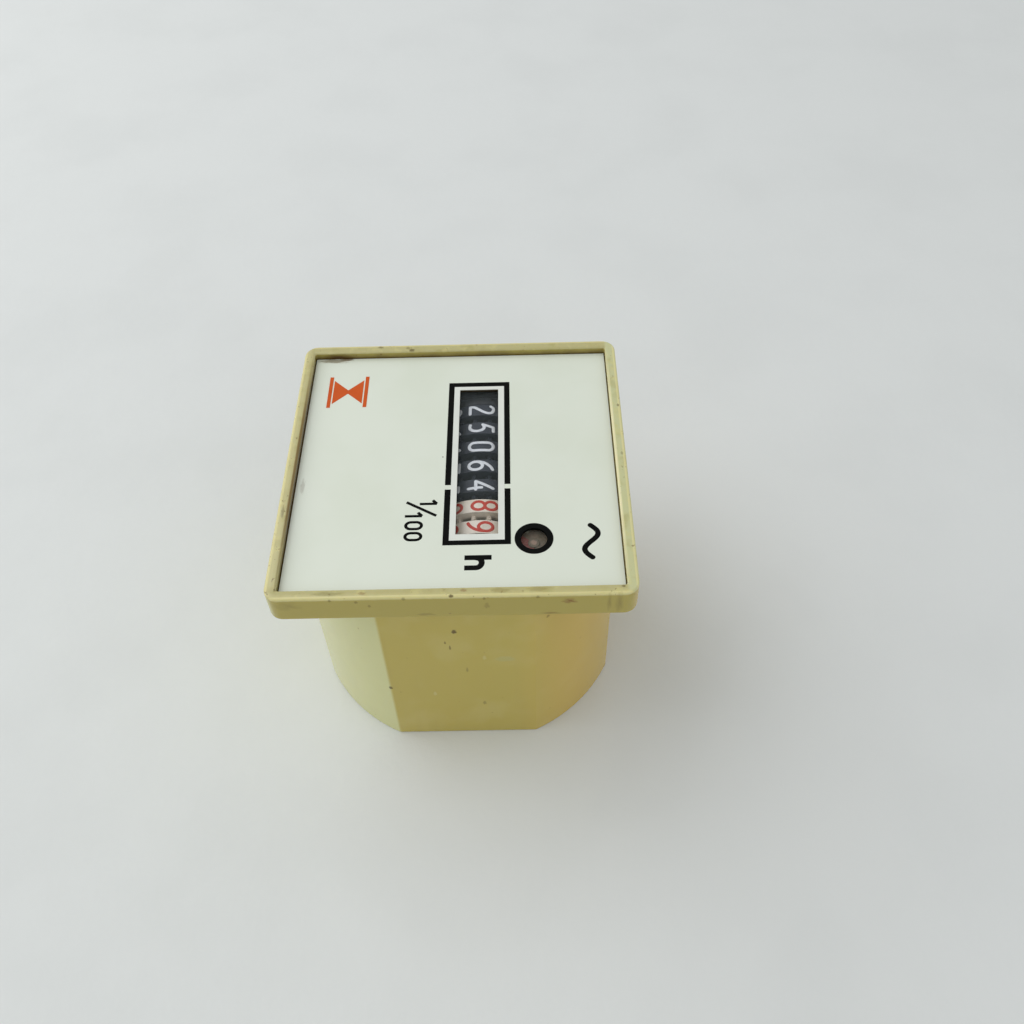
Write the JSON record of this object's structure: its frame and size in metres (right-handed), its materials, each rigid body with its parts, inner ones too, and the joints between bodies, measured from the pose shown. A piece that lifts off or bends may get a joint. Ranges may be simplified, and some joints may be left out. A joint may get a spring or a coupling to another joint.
{
  "type": "hour meter",
  "caption": "Square-bezel panel hour meter: recessed dial, window over geared number drums, running indicator, and a round body with flats that holds a synchronous motor and gear train.",
  "frame": {"origin": "centre of the rear face, on which the meter stands with its dial up", "axes": "+X along the row of drums to the reader's right, +Y up the dial, +Z out of the dial"},
  "size_m": [0.048, 0.048, 0.0393],
  "materials": {
    "cream_plastic": "moulded, slightly yellowed, satin",
    "white_dial": "printed sheet, satin",
    "clear_plastic": "clear moulded pane",
    "zinc_steel": "zinc plated",
    "tinned_brass": "tinned",
    "black_plastic": "moulded, satin",
    "steel": "ground",
    "brass": "rolled",
    "gear_plastic": "natural acetal",
    "indicator_plastic": "moulded",
    "bobbin_plastic": "moulded",
    "copper_wire": "enamelled copper wire",
    "ferrite": "pressed ferrite",
    "black_drum": "moulded, satin",
    "white_drum": "moulded, satin"
  },
  "bodies": {
    "case": {"housing": "cream_plastic", "dial_plate": "white_dial", "window_pane": "clear_plastic", "indicator_lens": "clear_plastic", "rear_cover": "cream_plastic", "cover_screws": "zinc_steel", "terminal_left": "tinned_brass", "terminal_right": "tinned_brass", "counter_frame": "black_plastic", "drum_shaft": "steel", "pinion_shaft": "steel", "movement_plate": "brass", "plate_pillars": "brass", "frame_screws": "zinc_steel", "gear_pin_1": "steel", "gear_pin_2": "steel", "motor_cup": "zinc_steel", "pole_plate": "zinc_steel", "coil_bobbin": "bobbin_plastic", "coil_winding": "copper_wire", "rotor_pin": "steel"},
    "rotor": {"rotor_hub": "gear_plastic", "rotor_magnet": "ferrite"},
    "first_gear": {"first_gear": "gear_plastic"},
    "second_gear": {"second_gear": "gear_plastic"},
    "worm": {"worm_arbor": "gear_plastic", "indicator_disc": "indicator_plastic"},
    "drum_10000": {"drum_10000": "black_drum"},
    "drum_1000": {"drum_1000": "black_drum"},
    "drum_100": {"drum_100": "black_drum"},
    "drum_10": {"drum_10": "black_drum"},
    "drum_1": {"drum_1": "black_drum"},
    "drum_tenths": {"drum_tenths": "white_drum"},
    "drum_hundredths": {"drum_hundredths": "white_drum"},
    "carry_pinion_1": {"carry_pinion_1": "gear_plastic"},
    "carry_pinion_2": {"carry_pinion_2": "gear_plastic"},
    "carry_pinion_3": {"carry_pinion_3": "gear_plastic"},
    "carry_pinion_4": {"carry_pinion_4": "gear_plastic"},
    "carry_pinion_5": {"carry_pinion_5": "gear_plastic"},
    "carry_pinion_6": {"carry_pinion_6": "gear_plastic"}
  },
  "joints": [
    {"name": "rotor_spin", "type": "hinge", "parent": "case", "child": "rotor", "pos_m": [0, 0, 0.0074], "axis": [0, 0, 1], "continuous": true},
    {"name": "first_gear_spin", "type": "hinge", "parent": "case", "child": "first_gear", "pos_m": [-0.00135, 0.0089, 0.015], "axis": [0, 0, 1], "continuous": true},
    {"name": "second_gear_spin", "type": "hinge", "parent": "case", "child": "second_gear", "pos_m": [0.00903, 0.00728, 0.016], "axis": [0, 0, 1], "continuous": true},
    {"name": "worm_spin", "type": "hinge", "parent": "case", "child": "worm", "pos_m": [0.01394, 0.01072, 0.0288], "axis": [0, 0, 1], "continuous": true},
    {"name": "drum_10000_spin", "type": "hinge", "parent": "case", "child": "drum_10000", "pos_m": [-0.0118, 0.0034, 0.0288], "axis": [1, 0, 0], "continuous": true},
    {"name": "drum_1000_spin", "type": "hinge", "parent": "case", "child": "drum_1000", "pos_m": [-0.00805, 0.0034, 0.0288], "axis": [1, 0, 0], "continuous": true},
    {"name": "drum_100_spin", "type": "hinge", "parent": "case", "child": "drum_100", "pos_m": [-0.0043, 0.0034, 0.0288], "axis": [1, 0, 0], "continuous": true},
    {"name": "drum_10_spin", "type": "hinge", "parent": "case", "child": "drum_10", "pos_m": [-0.00055, 0.0034, 0.0288], "axis": [1, 0, 0], "continuous": true},
    {"name": "drum_1_spin", "type": "hinge", "parent": "case", "child": "drum_1", "pos_m": [0.0032, 0.0034, 0.0288], "axis": [1, 0, 0], "continuous": true},
    {"name": "drum_tenths_spin", "type": "hinge", "parent": "case", "child": "drum_tenths", "pos_m": [0.00695, 0.0034, 0.0288], "axis": [1, 0, 0], "continuous": true},
    {"name": "drum_hundredths_spin", "type": "hinge", "parent": "case", "child": "drum_hundredths", "pos_m": [0.0107, 0.0034, 0.0288], "axis": [1, 0, 0], "continuous": true},
    {"name": "carry_pinion_1_spin", "type": "hinge", "parent": "case", "child": "carry_pinion_1", "pos_m": [-0.00992, -0.00417, 0.0235], "axis": [1, 0, 0], "continuous": true},
    {"name": "carry_pinion_2_spin", "type": "hinge", "parent": "case", "child": "carry_pinion_2", "pos_m": [-0.00617, -0.00417, 0.0235], "axis": [1, 0, 0], "continuous": true},
    {"name": "carry_pinion_3_spin", "type": "hinge", "parent": "case", "child": "carry_pinion_3", "pos_m": [-0.00243, -0.00417, 0.0235], "axis": [1, 0, 0], "continuous": true},
    {"name": "carry_pinion_4_spin", "type": "hinge", "parent": "case", "child": "carry_pinion_4", "pos_m": [0.00133, -0.00417, 0.0235], "axis": [1, 0, 0], "continuous": true},
    {"name": "carry_pinion_5_spin", "type": "hinge", "parent": "case", "child": "carry_pinion_5", "pos_m": [0.00507, -0.00417, 0.0235], "axis": [1, 0, 0], "continuous": true},
    {"name": "carry_pinion_6_spin", "type": "hinge", "parent": "case", "child": "carry_pinion_6", "pos_m": [0.00882, -0.00417, 0.0235], "axis": [1, 0, 0], "continuous": true}
  ],
  "couplings": [
    {"joint": "first_gear_spin", "follows": "rotor_spin", "ratio": -0.2},
    {"joint": "second_gear_spin", "follows": "rotor_spin", "ratio": 0.033333},
    {"joint": "worm_spin", "follows": "rotor_spin", "ratio": -0.016667},
    {"joint": "drum_10000_spin", "follows": "rotor_spin", "ratio": -0.00000000055556},
    {"joint": "drum_1000_spin", "follows": "rotor_spin", "ratio": -0.0000000055556},
    {"joint": "drum_100_spin", "follows": "rotor_spin", "ratio": -0.000000055556},
    {"joint": "drum_10_spin", "follows": "rotor_spin", "ratio": -0.00000055556},
    {"joint": "drum_1_spin", "follows": "rotor_spin", "ratio": -0.0000055556},
    {"joint": "drum_tenths_spin", "follows": "rotor_spin", "ratio": -0.000055556},
    {"joint": "drum_hundredths_spin", "follows": "rotor_spin", "ratio": -0.00055556},
    {"joint": "carry_pinion_1_spin", "follows": "rotor_spin", "ratio": 0.0000000013889},
    {"joint": "carry_pinion_2_spin", "follows": "rotor_spin", "ratio": 0.000000013889},
    {"joint": "carry_pinion_3_spin", "follows": "rotor_spin", "ratio": 0.00000013889},
    {"joint": "carry_pinion_4_spin", "follows": "rotor_spin", "ratio": 0.0000013889},
    {"joint": "carry_pinion_5_spin", "follows": "rotor_spin", "ratio": 0.000013889},
    {"joint": "carry_pinion_6_spin", "follows": "rotor_spin", "ratio": 0.00013889}
  ]
}
